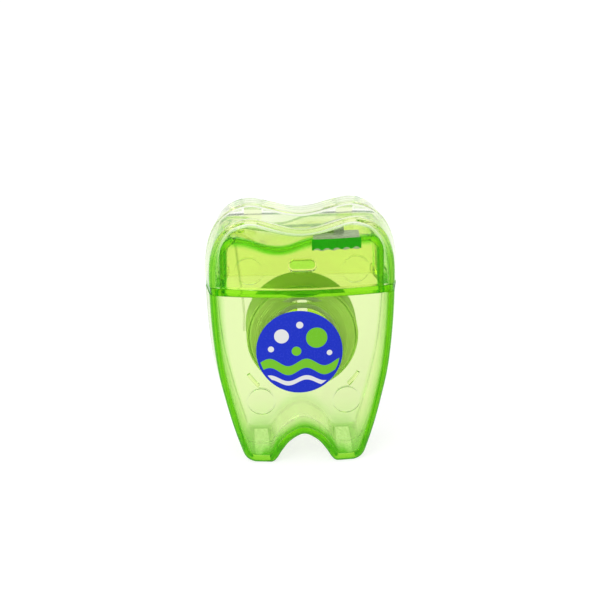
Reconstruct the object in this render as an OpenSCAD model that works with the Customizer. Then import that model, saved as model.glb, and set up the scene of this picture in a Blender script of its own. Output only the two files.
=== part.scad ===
// Tooth-shaped dental floss box in clear green plastic.
// Two shells close round a spool of floss, and a hinged lid covers the deck that holds the thread cutter.
// Millimetres, +Z up, front towards -Y, origin midway between the root ends on the surface it stands on.

/* [Case] */
// Width over the sides
case_w = 38; // [36:0.5:42]
// Height from the root ends to the tops of the humps
case_h = 51.3; // [49:0.5:56]
// Depth from the middle of the front face to the back face
case_d = 19; // [18.5:0.5:22]
// Wall thickness of the shells and the lid
wall = 1.3; // [1.2:0.1:1.5]
// How far the sides lean in from mid-depth to the front edge
draft = 0.7; // [0.6:0.1:1]
// How far the sides lean in from mid-depth to the back edge
back_draft = 1.1; // [0.7:0.1:1.2]
// Rounding of the outer front and back edges
edge_r = 1.2; // [0.8:0.1:1.4]
// Rounding of the inner corners of the mould
inner_r = 0.5; // [0.3:0.1:0.6]
// How far the front face falls back from its middle to its sides
front_bulge = 2.9; // [2:0.1:3.2]
// Height of the lid's part above the neck's flange, up to the tops of the humps
lid_h = 15.1; // [14:0.2:16]
// Width of the thumb bevel in the top edge of the front shell
thumb_w = 12; // [9:0.5:14]
// Height of the thumb bevel
thumb_h = 1; // [0.8:0.1:1.4]
// Depth of the thumb bevel
thumb_d = 0.7; // [0.4:0.1:0.9]

/* [Lid and hinge] */
// Gap between the lid and the shells all round
lid_gap = 0.3; // [0.25:0.05:0.4]
// Depth of the hinge line below the tops of the humps
hinge_drop = 3.5; // [3.4:0.1:3.8]
// Outer radius of the hinge knuckles
knuckle_r = 1.25; // [1.1:0.05:1.3]
// Radius of the lid's moulded hinge rods
rod_r = 0.65; // [0.5:0.05:0.7]
// Radial clearance of a rod in its knuckle
rod_fit = 0.05; // [0.03:0.01:0.08]
// Distance of each hinge from the middle of the case
hinge_x = 9.2; // [8.8:0.2:9.6]
// Width of each knuckle of the back shell
knuckle_w = 3.2; // [2.6:0.2:3.6]
// Width of the lid's cheek on each side of a knuckle
cheek_w = 2.4; // [2:0.2:2.8]
// Width of the latch window in the lid
window_w = 5.6; // [5:0.2:6.4]
// Height of the latch window
window_h = 2.5; // [2.2:0.1:2.8]
// Height of the latch window's middle above the flange
window_up = 5; // [4.6:0.2:5.4]

/* [Neck] */
// Distance of the neck's sides inside the case's sides
neck_in = 2.7; // [2.6:0.1:3.2]
// How far the neck's sides lean in towards its front
neck_draft = 0.3; // [0.2:0.1:0.6]
// Wall thickness of the neck
neck_wall = 1; // [0.8:0.1:1.1]
// Gap between the neck's front and the lid's front
neck_gap = 0.8; // [0.7:0.05:1]
// Depth of the deck below the tops of the humps
deck_drop = 5.2; // [5.1:0.1:5.4]
// Depth of the dip in the deck that the strand crosses
dip = 1.6; // [1.2:0.1:1.8]
// Thickness of the neck's flange, which lies between the shells and the lid
flange_t = 1.4; // [1:0.1:1.6]
// Gap between the flange and the closed lid
rest_gap = 0.15; // [0.1:0.05:0.3]
// Radius of the hole that the floss leaves by
exit_r = 1; // [0.9:0.05:1.2]
// Distance of the exit hole inside the neck's side
exit_in = 3.4; // [3.1:0.1:3.6]

/* [Cutter] */
// Thickness of the cutter's sheet steel
steel = 0.3; // [0.2:0.05:0.35]
// Width of the cutter
cutter_w = 9; // [8:0.5:9.5]
// Distance of the cutter's left edge from the middle of the case
cutter_x = 2.2; // [2:0.1:2.6]
// Depth of the cutter's plate on the deck
cutter_d = 4.8; // [4:0.2:5.2]
// Height of the cutter's front flange
flange_h = 2.2; // [1.6:0.1:2.4]
// Height of the raised cutting tooth
tooth_h = 1.5; // [1:0.1:1.6]
// Length of the raised cutting tooth
tooth_l = 5.6; // [4:0.2:6]

/* [Spool] */
// Outer radius of the wound floss
floss_r = 11; // [10.6:0.1:11.2]
// Depth of the case that the floss leaves free in front and behind, together
floss_room = 10; // [9.8:0.2:11]
// Share of the height between the arch's wall and the flange's top at which the spool's axis lies
spool_share = 0.62; // [0.6:0.005:0.63]
// Outer radius of the split hub post
hub_r = 6; // [5.5:0.1:6.4]
// Wall of the hub post
hub_wall = 1.2; // [0.9:0.1:1.4]
// Width of the slots that split the hub post
hub_slot = 2; // [1.4:0.1:2.4]
// Radial clearance of the spool on the hub post
hub_fit = 0.05; // [0.03:0.01:0.08]
// Wall of the spool's core
core_wall = 0.9; // [0.7:0.1:1.1]
// Thickness of one wound turn of floss
turn_d = 0.46; // [0.4:0.02:0.46]
// Thickness of the free strand
strand_d = 0.6; // [0.4:0.05:0.6]

/* [Label] */
// Radius of the round label
label_r = 8.5; // [7.5:0.25:9]
// Distance of the label's middle to the left of the case's middle, as it was stuck on
label_off = 0.8; // [0:0.1:1]
// Height of the label's middle above the root ends
label_z = 23.6; // [22:0.2:24]
// Thickness of the label
label_t = 0.12; // [0.08:0.02:0.2]

/* [Hidden] */
$fn = 48;

// Colours of the clear green plastic, the steel, the floss and the label
shell_green = [0.66, 0.86, 0.3, 0.5];
lid_green = [0.6, 0.84, 0.24, 0.5];
neck_green = [0.45, 0.76, 0.1, 0.6];
steel_grey = [0.62, 0.64, 0.64];
floss_green = [0.66, 0.9, 0.52];
core_green = [0.72, 0.88, 0.58];
label_blue = [0.13, 0.21, 0.8];

// Overrun of every cut past the face that it leaves
over = 1;

// Right half of the tooth outline at mid-depth, from the arch between the roots up to the valley:
// x as a share of the half width, z as a share of the height, then how a wall's inner side moves in
// from that point along x and z, then the share of the draft that the point takes.
outline_shares = [
    [0, 0.112, 0, 1, 0.3],
    [0.132, 0.087, 0.55, 0.83, 0.3],
    [0.22, 0.046, 0.7, 0.6, 0.4],
    [0.28, 0.013, 0.6, 0.75, 0.3],
    [0.348, 0, 0.35, 1, 0],
    [0.516, 0, -0.35, 1, 0],
    [0.62, 0.016, -0.68, 0.73, 0.3],
    [0.695, 0.061, -0.92, 0.39, 0.8],
    [0.774, 0.14, -0.957, 0.29, 1],
    [0.85, 0.245, -0.97, 0.24, 1],
    [0.926, 0.373, -0.985, 0.17, 1],
    [0.974, 0.53, -0.996, 0.09, 1],
    [0.995, 0.69, -1, 0.02, 1],
    [0.986, 0.81, -0.98, -0.16, 1],
    [0.92, 0.9, -0.91, -0.42, 1],
    [0.8, 0.96, -0.66, -0.75, 1],
    [0.64, 0.992, -0.33, -0.945, 1],
    [0.49, 1, 0, -1, 1],
    [0.3, 0.983, 0.27, -0.96, 1],
    [0.14, 0.967, 0.2, -0.98, 1],
    [0, 0.961, 0, -1, 1]
];
last_row = len(outline_shares) - 1;

// Sampled points between two rows of the outline
outline_steps = 2;
// Height of the middle that the faces' rings close on, as a share of the height
middle_share = 0.53;
// Rings of the faces between their edge and their middle, as shares of the way in
ring_shares = [0.35, 0.7];
// Angles of the rings round an edge
edge_angles = [0, 30, 60, 90];

// Radius of the front face about a vertical line
front_r = (pow(case_w / 2, 2) + pow(front_bulge, 2)) / (2 * front_bulge);

// Heights and depths that follow from the sizes above
seam_z = case_h - lid_h;
shell_top = seam_z - flange_t;
hinge_z = case_h - hinge_drop;
deck_z = case_h - deck_drop;
arch_top = outline_shares[0][1] * case_h + wall;
spool_z = arch_top + spool_share * (seam_z - arch_top);
window_z = seam_z + window_up;
panel_y = case_d / 2 - wall;
hinge_y = case_d / 2 - knuckle_r - rod_fit;
// The lid's back rim and the panel's top edge both clear the circle that the rim turns on
rim_drop = knuckle_r + 0.16 * knuckle_r;
panel_top = hinge_z - sqrt(pow(rim_drop, 2) + pow(case_d / 2 - hinge_y, 2)) - lid_gap;
neck_back_y = hinge_y - knuckle_r - lid_gap;
neck_half_w = case_w / 2 - neck_in;
exit_x = neck_half_w - exit_in;

// How far the spool's core stands out past the floss, and the hub post's snap lip
core_lip = 0.2;
hub_lip_t = 0.6;
hub_lip = 0.3;

// Places worked out for the spool, front to back
floss_w = case_d - floss_room;
spool_half = floss_w / 2 + core_lip;
hub_front = -spool_half - lid_gap - hub_lip_t;
core_r = hub_r + hub_fit + core_wall;

// The outer turns are drawn as straight steps, whose middles just clear the wound mass
turn_rings = 24;
turn_clear = 0.01;
turn_path_r = floss_r - turn_d / 2;
pack_r = turn_path_r * cos(180 / turn_rings) - turn_d / 2 - turn_clear;

function spline(a, b, c, d, t) =
    b + (c - a) * t / 2 + (2 * a - 5 * b + 4 * c - d) * t * t / 2 + (3 * b - a - 3 * c + d) * t * t * t / 2;

function mirrored(row) = [-row[0], row[1], -row[2], row[3], row[4]];

outline_rows = concat(
    outline_shares,
    [for (i = [last_row - 1:-1:1]) mirrored(outline_shares[i])]
);
row_count = len(outline_rows);

function row_at(i) = outline_rows[(i + row_count) % row_count];

curve_rows = [
    for (i = [0:row_count - 1])
        for (s = [0:outline_steps - 1])
            spline(row_at(i - 1), row_at(i), row_at(i + 1), row_at(i + 2), s / outline_steps)
];
curve_count = len(curve_rows);

// Half width of the case at mid-depth at the heights of its right side
side_table = [for (i = [6:14]) [outline_shares[i][1] * case_h, outline_shares[i][0] * case_w / 2]];

// Depth of the front or back face at a distance from the middle; side is -1 in front and 1 behind
function face_y(x, side) = side > 0
    ? case_d / 2
    : front_r - case_d / 2 - sqrt(pow(front_r, 2) - pow(x, 2));

// Outline moved in by a wall and by a lean
function outline(inset, lean) = [
    for (r = curve_rows)
        [
            r[0] * case_w / 2 + r[2] * (inset + lean * r[4]),
            max(inset, r[1] * case_h + r[3] * (inset + lean * r[4]))
        ]
];

function lean_of(side) = side > 0 ? back_draft : draft;

// Rings of one half of the case from mid-depth to the middle of a face, at a depth below the outer skin
function mid_ring(inset) = [for (p = outline(inset, 0)) [p[0], 0, p[1]]];

function edge_ring(inset, r, a, side) = [
    for (p = outline(inset + r * (1 - cos(a)), lean_of(side)))
        [p[0], face_y(p[0], side) - side * (inset + r * (1 - sin(a))), p[1]]
];

function face_ring(inset, r, u, side) = [
    for (p = edge_ring(inset, r, 90, side))
        let (x = p[0] * (1 - u), z = p[2] + (middle_share * case_h - p[2]) * u)
        [x, face_y(x, side) - side * inset, z]
];

function half_rings(inset, r, side) = concat(
    [mid_ring(inset)],
    [for (a = edge_angles) edge_ring(inset, r, a, side)],
    [for (u = ring_shares) face_ring(inset, r, u, side)]
);

function face_middle(inset, side) = [0, face_y(0, side) - side * inset, middle_share * case_h];

function reversed(list) = [for (i = [len(list) - 1:-1:0]) list[i]];

// Closed skin through rings of equal count, with a point at each end
module skin(first, rings, last) {
    n = len(rings[0]);
    m = len(rings);
    points = concat([first], [for (r = rings) for (p = r) p], [last]);
    start = [for (i = [0:n - 1]) [0, 1 + (i + 1) % n, 1 + i]];
    bands = [
        for (k = [0:m - 2])
            for (i = [0:n - 1])
                let (a = 1 + k * n + i, b = 1 + k * n + (i + 1) % n)
                each [[a, b, a + n], [b, b + n, a + n]]
    ];
    end = [for (i = [0:n - 1]) [m * n + 1, 1 + (m - 1) * n + i, 1 + (m - 1) * n + (i + 1) % n]];
    polyhedron(points, concat(start, bands, end));
}

// Solid tooth whose skin lies a given depth below the outer one
module tooth(inset, r) {
    skin(
        face_middle(inset, -1),
        concat(
            reversed([for (k = [1:len(edge_angles) + len(ring_shares)]) half_rings(inset, r, -1)[k]]),
            half_rings(inset, r, 1)
        ),
        face_middle(inset, 1)
    );
}

// Open half of the case from mid-depth to the front or the back
module half_case(side) {
    rings = concat(reversed(half_rings(0, edge_r, side)), half_rings(wall, inner_r, side));
    mirror([0, side > 0 ? 1 : 0, 0])
        skin(
            flipped(face_middle(0, side), side),
            [for (r = rings) [for (p = r) flipped(p, side)]],
            flipped(face_middle(wall, side), side)
        );
}

function flipped(p, side) = side > 0 ? [p[0], -p[1], p[2]] : p;

// Rod along X between two distances from the middle
module rod_x(r, x0, x1) {
    translate([x0, hinge_y, hinge_z]) rotate([0, 90, 0]) cylinder(r = r, h = x1 - x0);
}

// Rod along Y between two depths, at a place on the front
module rod_y(r, x, z, y0, y1) {
    translate([x, y0, z]) rotate([-90, 0, 0]) cylinder(r = r, h = y1 - y0);
}

// Flat bar with round ends along Y between two depths, centred on the latch
module latch_bar(w, h, y0, y1) {
    for (side = [-1, 1]) rod_y(h / 2, side * (w - h) / 2, window_z, y0, y1);
    translate([-(w - h) / 2, y0, window_z - h / 2]) cube([w - h, y1 - y0, h]);
}

module front_shell() {
    color(shell_green) {
        difference() {
            half_case(-1);
            translate([-case_w, -case_d, shell_top]) cube([2 * case_w, 2 * case_d, case_h]);
            thumb_bevel();
            for (side = [-1, 1])
                ejector_mark(side * mark_x, mark_z);
        }
        guide_ribs();
    }
}

// Ejector marks inside the front: radius, depth and places
mark_r = 2.8;
mark_t = 0.15;
mark_x = 8.4;
mark_z = 13;
lid_mark_x = 11.1;
lid_mark_up = 4.5;

// Distance of the front's inner face from mid-depth
function front_inside(x) = -face_y(x, -1) - wall;

// Round mark of an ejector pin in the front's inner face
module ejector_mark(x, z) {
    rod_y(mark_r, x, z, -front_inside(x) - mark_t, 0);
}

// Slanted cut in the top edge for a thumbnail
module thumb_bevel() {
    y = -case_d / 2;
    rotate([90, 0, 90])
        translate([0, 0, -thumb_w / 2])
            linear_extrude(thumb_w)
                polygon([
                    [y - over, shell_top - thumb_h],
                    [y, shell_top - thumb_h],
                    [y + thumb_d, shell_top],
                    [y + thumb_d, shell_top + over],
                    [y - over, shell_top + over]
                ]);
}

module back_shell() {
    color(shell_green) {
        difference() {
            union() {
                intersection() {
                    half_case(1);
                    union() {
                        translate([-case_w, -over, -over]) cube([2 * case_w, case_d, shell_top + over]);
                        translate([-case_w, panel_y, -over]) cube([2 * case_w, case_d, panel_top + over]);
                    }
                }
                for (side = [-1, 1]) knuckle(side);
            }
            for (side = [-1, 1])
                rod_x(rod_r + rod_fit, side * hinge_x - knuckle_w, side * hinge_x + knuckle_w);
        }
        hub_post();
    }
}

// Knuckle of the back shell with the web that carries it
module knuckle(side) {
    x0 = side * hinge_x - knuckle_w / 2;
    rod_x(knuckle_r, x0, x0 + knuckle_w);
    translate([x0, hinge_y - knuckle_r, panel_top - wall])
        cube([knuckle_w, knuckle_r + 0.5 * knuckle_r, hinge_z - panel_top + wall]);
}

// Split post that the spool turns on, with a snap lip in front and a stop ring behind
module hub_post() {
    difference() {
        union() {
            rod_y(hub_r, 0, spool_z, hub_front, panel_y + wall / 2);
            rod_y(hub_r + hub_lip, 0, spool_z, hub_front, hub_front + hub_lip_t);
            rod_y(core_r, 0, spool_z, spool_half + lid_gap, panel_y + wall / 2);
        }
        rod_y(hub_r - hub_wall, 0, spool_z, hub_front - over, panel_y);
        translate([-hub_slot / 2, hub_front - over, spool_z - hub_r - over])
            cube([hub_slot, spool_half + lid_gap - hub_front + over, 2 * (hub_r + over)]);
    }
}

// Short ribs inside the front, below the spool on each side: clearance, thickness, spread and height
rib_gap = 1.4;
rib_t = 0.6;
rib_from = 32;
rib_to = 46;
rib_h = 1.2;

module guide_ribs() {
    inside = front_inside((floss_r + rib_gap) * cos(rib_to));
    for (start = [180 + rib_from, 360 - rib_to])
        translate([0, rib_h - inside, spool_z])
            rotate([90, 0, 0])
                rotate([0, 0, start])
                    rotate_extrude(angle = rib_to - rib_from)
                        translate([floss_r + rib_gap, 0]) square([rib_t, rib_h + wall / 2]);
}

module lid() {
    color(lid_green) {
        difference() {
            tooth(0, edge_r);
            tooth(wall, inner_r);
            translate([-case_w, -case_d, -over]) cube([2 * case_w, 2 * case_d, seam_z + rest_gap + over]);
            translate([-case_w, panel_y - lid_gap, -over])
                cube([2 * case_w, case_d, hinge_z - rim_drop + over]);
            for (side = [-1, 1]) knuckle_notch(side);
            latch_bar(window_w, window_h, -case_d, 0);
            for (side = [-1, 1])
                ejector_mark(side * lid_mark_x, seam_z + lid_mark_up);
        }
        intersection() {
            for (side = [-1, 1]) lid_hinge(side);
            tooth(wall / 2, inner_r);
        }
    }
}

// Room in the lid for a knuckle of the back shell
module knuckle_notch(side) {
    w = knuckle_w + 2 * lid_gap;
    r = knuckle_r + lid_gap;
    x0 = side * hinge_x - w / 2;
    rod_x(r, x0, x0 + w);
    translate([x0, hinge_y, hinge_z - r]) cube([w, case_d, 2 * r]);
    translate([x0, hinge_y - r, hinge_z - 2 * r]) cube([w, case_d, 2 * r]);
}

// Two cheeks of the lid and the rod that runs between them through the knuckle
module lid_hinge(side) {
    inner = knuckle_w / 2 + lid_gap;
    for (end = [-1, 1]) {
        x0 = side * hinge_x + end * inner - (end < 0 ? cheek_w : 0);
        rod_x(knuckle_r, x0, x0 + cheek_w);
        translate([x0, hinge_y - knuckle_r, hinge_z])
            cube([cheek_w, 1.4 * knuckle_r, case_h - wall - hinge_z]);
    }
    rod_x(rod_r, side * hinge_x - inner - over / 2, side * hinge_x + inner + over / 2);
}

// Deck line of the neck from the left side to the right: x as a share of the neck's half width,
// z as a share of the dip below the deck
deck_shares = [
    [-1, -2.2], [-0.99, -1.45], [-0.955, -0.85], [-0.915, -0.38], [-0.875, -0.1], [-0.84, 0], [-0.73, 0],
    [-0.6, -0.3], [-0.44, -0.82], [-0.29, -1], [-0.15, -0.82], [0, -0.3], [0.12, 0], [0.3, 0], [0.6, 0],
    [0.84, 0], [0.875, -0.1], [0.915, -0.38], [0.955, -0.85], [0.99, -1.45], [1, -2.2]
];
deck_steps = 3;
deck_last = len(deck_shares) - 1;

function deck_row(i) = deck_shares[min(max(i, 0), deck_last)];

deck_curve = concat(
    [
        for (i = [0:deck_last - 1])
            for (s = [0:deck_steps - 1])
                spline(deck_row(i - 1), deck_row(i), deck_row(i + 1), deck_row(i + 2), s / deck_steps)
    ],
    [deck_row(deck_last)]
);

// Cross-section of the neck, moved in by a wall
module neck_section(inset) {
    w = neck_half_w - inset;
    polygon(concat(
        [[-w, shell_top - (inset > 0 ? over : 0)]],
        [for (p = deck_curve) [p[0] * w, deck_z + min(p[1], 0) * dip - inset]],
        [[w, shell_top - (inset > 0 ? over : 0)]]
    ));
}

// Depth of the neck's front face at a distance from the middle
function neck_front(x) = -front_inside(x) + neck_gap;

// Plan of the neck, moved in by a wall: an arc in front that follows the lid, and sides that lean in
plan_steps = 12;

module neck_plan(inset) {
    w = neck_half_w - inset;
    front_w = neck_half_w - neck_draft - inset;
    back_w = neck_half_w - back_draft - inset;
    back = neck_back_y - inset;
    polygon(concat(
        [
            for (i = [0:plan_steps])
                let (x = front_w * (2 * i / plan_steps - 1))
                [x, neck_front(x) + inset]
        ],
        [[w, 0], [back_w, back], [-back_w, back], [-w, 0]]
    ));
}

module neck_block(inset) {
    intersection() {
        rotate([90, 0, 0]) translate([0, 0, -case_d]) linear_extrude(2 * case_d) neck_section(inset);
        linear_extrude(case_h) neck_plan(inset);
    }
}

module neck() {
    color(neck_green) {
        difference() {
            union() {
                neck_block(0);
                neck_flange();
                exit_rod(exit_r + neck_wall, 0, rim_up);
            }
            neck_block(neck_wall);
            exit_rod(exit_r, over, over);
        }
        latch_nub();
        for (side = [-1, 1]) seat_lug(side);
    }
}

// Flange round the neck's front and sides: a slice of the tooth, as wide as the shells but for a
// small step, and open behind the neck's back wall
flange_step = 0.1;

module neck_flange() {
    open_w = neck_half_w - back_draft - neck_wall;
    difference() {
        intersection() {
            tooth(flange_step, edge_r);
            translate([-case_w, -case_d, shell_top]) cube([2 * case_w, case_d + panel_y, flange_t]);
        }
        translate([-open_w, neck_back_y - neck_wall / 2, shell_top - over])
            cube([2 * open_w, case_d, flange_t + 2 * over]);
    }
}

// Upright rod at the exit hole, through the deck and past it below and above
module exit_rod(r, below, above) {
    translate([-exit_x, 0, deck_z - neck_wall - below]) cylinder(r = r, h = neck_wall + below + above);
}

// Rise of the rim round the exit hole
rim_up = 0.2;

// Latch nub on the neck's front: its gap in the window, and to the circle that the window's edge turns on
nub_gap = 0.3;
nub_fit = 0.15;

module latch_nub() {
    edge_y = front_inside(0) + hinge_y;
    edge_drop = hinge_z - window_z + window_h / 2;
    swing_r = sqrt(pow(edge_y, 2) + pow(edge_drop, 2)) - nub_fit;
    root_y = neck_front(0) + neck_wall / 2;
    intersection() {
        latch_bar(window_w - 2 * nub_gap, window_h - 2 * nub_gap, -case_d / 2 + nub_gap, root_y);
        rod_x(swing_r, -window_w, window_w);
    }
}

// Lug under the flange that centres the neck between the side walls: length, height, thickness, clearance
lug_l = 6;
lug_h = 1.6;
lug_t = 1;
lug_fit = 0.1;

module seat_lug(side) {
    z = shell_top - lug_h;
    x1 = lookup(z, side_table) - wall - lug_fit - 0.25 * draft;
    mirror([side < 0 ? 1 : 0, 0, 0])
        translate([x1 - lug_t, -lug_l / 4, z]) cube([lug_t, lug_l / 2, lug_h]);
}

// Bent sheet-steel cutter: a plate on the deck, a flange over its front edge and a raised tooth
module cutter() {
    plate_back = neck_front(cutter_x) + cutter_d;
    color(steel_grey) {
        difference() {
            union() {
                translate([cutter_x, -case_d, deck_z]) cube([cutter_w, case_d + plate_back, steel]);
                translate([cutter_x, -case_d, deck_z - flange_h]) cube([cutter_w, case_d, flange_h]);
            }
            difference() {
                translate([0, -case_d, deck_z - 2 * flange_h]) cube([case_w, case_d, 3 * flange_h]);
                front_cylinder(-steel);
            }
            intersection() {
                translate([0, -case_d, deck_z - 2 * flange_h]) cube([case_w, 2 * case_d, 2 * flange_h]);
                front_cylinder(0);
            }
        }
        translate([cutter_x + steel, plate_back, deck_z])
            rotate([90, 0, 0])
                linear_extrude(steel)
                    polygon([
                        [0, 0],
                        [0, steel],
                        [tooth_l, steel + tooth_h],
                        [tooth_l + steel, steel],
                        [tooth_l + steel, 0]
                    ]);
    }
}

// Upright cylinder that the neck's front face lies on, moved back by a distance
module front_cylinder(back) {
    translate([0, front_r + neck_front(0) + back, 0]) cylinder(r = front_r, h = case_h, $fn = 360);
}

// Moulded sleeve at the middle of the spool
module spool_core() {
    color(core_green)
        difference() {
            rod_y(core_r, 0, spool_z, -spool_half, spool_half);
            rod_y(hub_r + hub_fit, 0, spool_z, -spool_half - over, spool_half + over);
        }
}

// Inner layers of floss as one wound mass
module floss_pack() {
    color(floss_green)
        difference() {
            rod_y(pack_r, 0, spool_z, -floss_w / 2, floss_w / 2);
            rod_y(core_r, 0, spool_z, -floss_w / 2 - over, floss_w / 2 + over);
        }
}

function unit(v) = v / norm(v);

function heading(path, i) = unit(path[min(i + 1, len(path) - 1)] - path[max(i - 1, 0)]);

// Tube of a given thickness along a list of points, with flat ends
module tube(path, d, sides, side_axis) {
    n = len(path);
    points = [
        for (i = [0:n - 1])
            let (t = heading(path, i), u = unit(cross(side_axis, t)), v = cross(t, u))
            for (k = [0:sides - 1])
                path[i] + d / 2 * (cos(360 * k / sides) * u + sin(360 * k / sides) * v)
    ];
    bands = [
        for (i = [0:n - 2])
            for (k = [0:sides - 1])
                let (a = i * sides + k, b = i * sides + (k + 1) % sides)
                each [[a, a + sides, b], [b, a + sides, b + sides]]
    ];
    polyhedron(
        points,
        concat(
            [[for (k = [0:sides - 1]) k]],
            bands,
            [[for (k = [sides - 1:-1:0]) (n - 1) * sides + k]]
        )
    );
}

// Outer layer of turns: one unbroken thread from edge to edge of the spool
turn_spacing = 0.86;
turn_sides = 6;
turn_count = floor((floss_w - turn_d) / turn_spacing);
turn_pitch = (floss_w - turn_d) / turn_count;

function on_turn(a) = [
    -turn_path_r * cos(a),
    -floss_w / 2 + turn_d / 2 + turn_pitch * a / 360,
    spool_z + turn_path_r * sin(a)
];

turn_path = [for (i = [0:turn_count * turn_rings]) on_turn(360 * i / turn_rings)];

module floss_turns() {
    color(floss_green) tube(turn_path, turn_d, turn_sides, [0, 1, 0]);
}

// Least gap of the thread to itself, measured between the points of one turn and the next
least_turn_gap = min([
    for (i = [0:len(turn_path) - turn_rings - 2])
        for (s = [-1:1])
            norm(turn_path[i + turn_rings + s] - turn_path[i])
]) - turn_d;
echo(least_turn_gap = least_turn_gap);

// Free strand from the spool's side up through the exit hole and over the dip to the cutter
strand_gap = 0.1;
strand_side = floss_r + strand_gap + strand_d / 2;
strand_y = neck_front(cutter_x) + cutter_d - steel - 0.65 * strand_d;
strand_top = deck_z + steel + 0.65 * strand_d;
strand_path = [
    [-strand_side, 0, spool_z],
    [-strand_side, 0, spool_z + 0.25 * (deck_z - spool_z)],
    [-0.5 * (strand_side + exit_x), 0, spool_z + 0.6 * (deck_z - spool_z)],
    [-exit_x, 0, deck_z - neck_wall],
    [-exit_x, 0, deck_z],
    [-exit_x + 0.12 * exit_r, 0, strand_top - 0.45 * strand_d],
    [-exit_x + 0.5 * exit_r, 0.03 * strand_y, strand_top - 0.1 * strand_d],
    [-exit_x + exit_r, 0.08 * strand_y, strand_top],
    [-exit_x + 2 * exit_r, 0.15 * strand_y, strand_top],
    [-0.65 * exit_x, 0.35 * strand_y, strand_top - 0.4 * strand_d],
    [-0.4 * exit_x, 0.6 * strand_y, strand_top - 0.7 * strand_d],
    [-0.15 * exit_x, 0.8 * strand_y, strand_top - 0.5 * strand_d],
    [0.3 * cutter_x, 0.95 * strand_y, strand_top - 0.1 * strand_d],
    [cutter_x, strand_y, strand_top],
    [cutter_x + 0.3 * tooth_l, strand_y, strand_top],
    [cutter_x + 0.75 * tooth_l, strand_y, strand_top]
];
strand_sides = 8;

module floss_strand() {
    color(floss_green) tube(strand_path, strand_d, strand_sides, [0, 1, 0]);
}

// Thin round label that lies on the curved front face
module front_label() {
    color(label_blue)
        intersection() {
            rod_y(label_r, -label_off, label_z, -case_d, 0);
            translate([0, front_r - case_d / 2, label_z - label_r])
                difference() {
                    cylinder(r = front_r + label_t, h = 2 * label_r, $fn = 360);
                    translate([0, 0, -over]) cylinder(r = front_r, h = 2 * (label_r + over), $fn = 360);
                }
        }
}

front_shell();
back_shell();
neck();
cutter();
lid();
spool_core();
floss_pack();
floss_turns();
floss_strand();
front_label();
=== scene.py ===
import math

import bmesh
import bpy
import numpy as np
from mathutils import Matrix, Vector


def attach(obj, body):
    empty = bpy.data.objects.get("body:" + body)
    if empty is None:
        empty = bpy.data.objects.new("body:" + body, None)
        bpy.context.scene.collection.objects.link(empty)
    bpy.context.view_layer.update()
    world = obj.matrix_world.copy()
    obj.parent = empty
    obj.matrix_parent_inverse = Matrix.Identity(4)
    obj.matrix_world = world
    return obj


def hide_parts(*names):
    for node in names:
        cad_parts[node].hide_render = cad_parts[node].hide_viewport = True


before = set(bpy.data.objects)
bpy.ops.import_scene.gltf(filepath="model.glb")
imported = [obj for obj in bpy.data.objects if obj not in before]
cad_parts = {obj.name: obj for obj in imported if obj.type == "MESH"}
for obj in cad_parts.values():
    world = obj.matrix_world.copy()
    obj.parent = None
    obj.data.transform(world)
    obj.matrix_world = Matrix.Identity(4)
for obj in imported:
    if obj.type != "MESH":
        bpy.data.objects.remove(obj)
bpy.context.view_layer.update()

# Camera.
# It stands half a metre away, a little above the box and a touch to its left.
camera_distance = 500.0
camera_elevation = 18.5
camera_azimuth = -2.1
camera_roll = -0.7
aim = (-0.58, -9.5, 34.34)
field_width = 117.0
sensor_width = 36.0


def metres(value):
    """Millimetres, one number or a point, in the scene's metres."""
    if np.isscalar(value):
        return value * 0.001
    return tuple(float(v) * 0.001 for v in value)


def new_object(name, data):
    obj = bpy.data.objects.new(name, data)
    bpy.context.collection.objects.link(obj)
    return obj


camera_data = bpy.data.cameras.new("camera")
camera_data.sensor_width = sensor_width
camera_data.lens = sensor_width * camera_distance / field_width
camera_data.clip_start = 0.01
camera = new_object("camera", camera_data)
elevation, azimuth = math.radians(camera_elevation), math.radians(camera_azimuth)
outward = Vector((
    math.cos(elevation) * math.sin(azimuth),
    -math.cos(elevation) * math.cos(azimuth),
    math.sin(elevation),
))
turn = outward.to_track_quat("Z", "Y").to_matrix().to_4x4()
camera.matrix_world = (
    Matrix.Translation(Vector(metres(aim)) + outward * metres(camera_distance))
    @ turn
    @ Matrix.Rotation(math.radians(camera_roll), 4, "Z")
)
bpy.context.scene.camera = camera
bpy.context.scene.view_settings.view_transform = "Standard"
cycles = bpy.context.scene.cycles
cycles.max_bounces = cycles.transmission_bounces = 72
cycles.diffuse_bounces, cycles.glossy_bounces = 6, 24

# Studio.
# A plain floor that looks white and keeps a soft shadow, even light all round and one large soft lamp.
ambient_level = 0.7
lamp_power = 2.2
lamp_width = 500.0
lamp_place = (-300.0, -560.0, 400.0)
floor_width = 4000.0
floor_colour = (0.38, 0.38, 0.38, 1)
floor_glow = 0.77


class Value:
    """An output of a node, so that sums written on it add Math nodes."""

    def __init__(self, nodes, socket):
        self.nodes, self.socket = nodes, socket

    def output(self, name):
        """Another output of the same node."""
        return Value(self.nodes, self.socket.node.outputs[name])

    def math(self, operation, *others):
        inputs = dict(enumerate((self,) + others))
        return self.nodes.add("ShaderNodeMath", {"operation": operation}, inputs)

    def __add__(self, other):
        return self.math("ADD", other)

    def __sub__(self, other):
        return self.math("SUBTRACT", other)

    def __rsub__(self, other):
        return self.nodes.add("ShaderNodeMath", {"operation": "SUBTRACT"}, {0: other, 1: self})

    def __mul__(self, other):
        return self.math("MULTIPLY", other)

    def maximum(self, other):
        return self.math("MAXIMUM", other)


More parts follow.
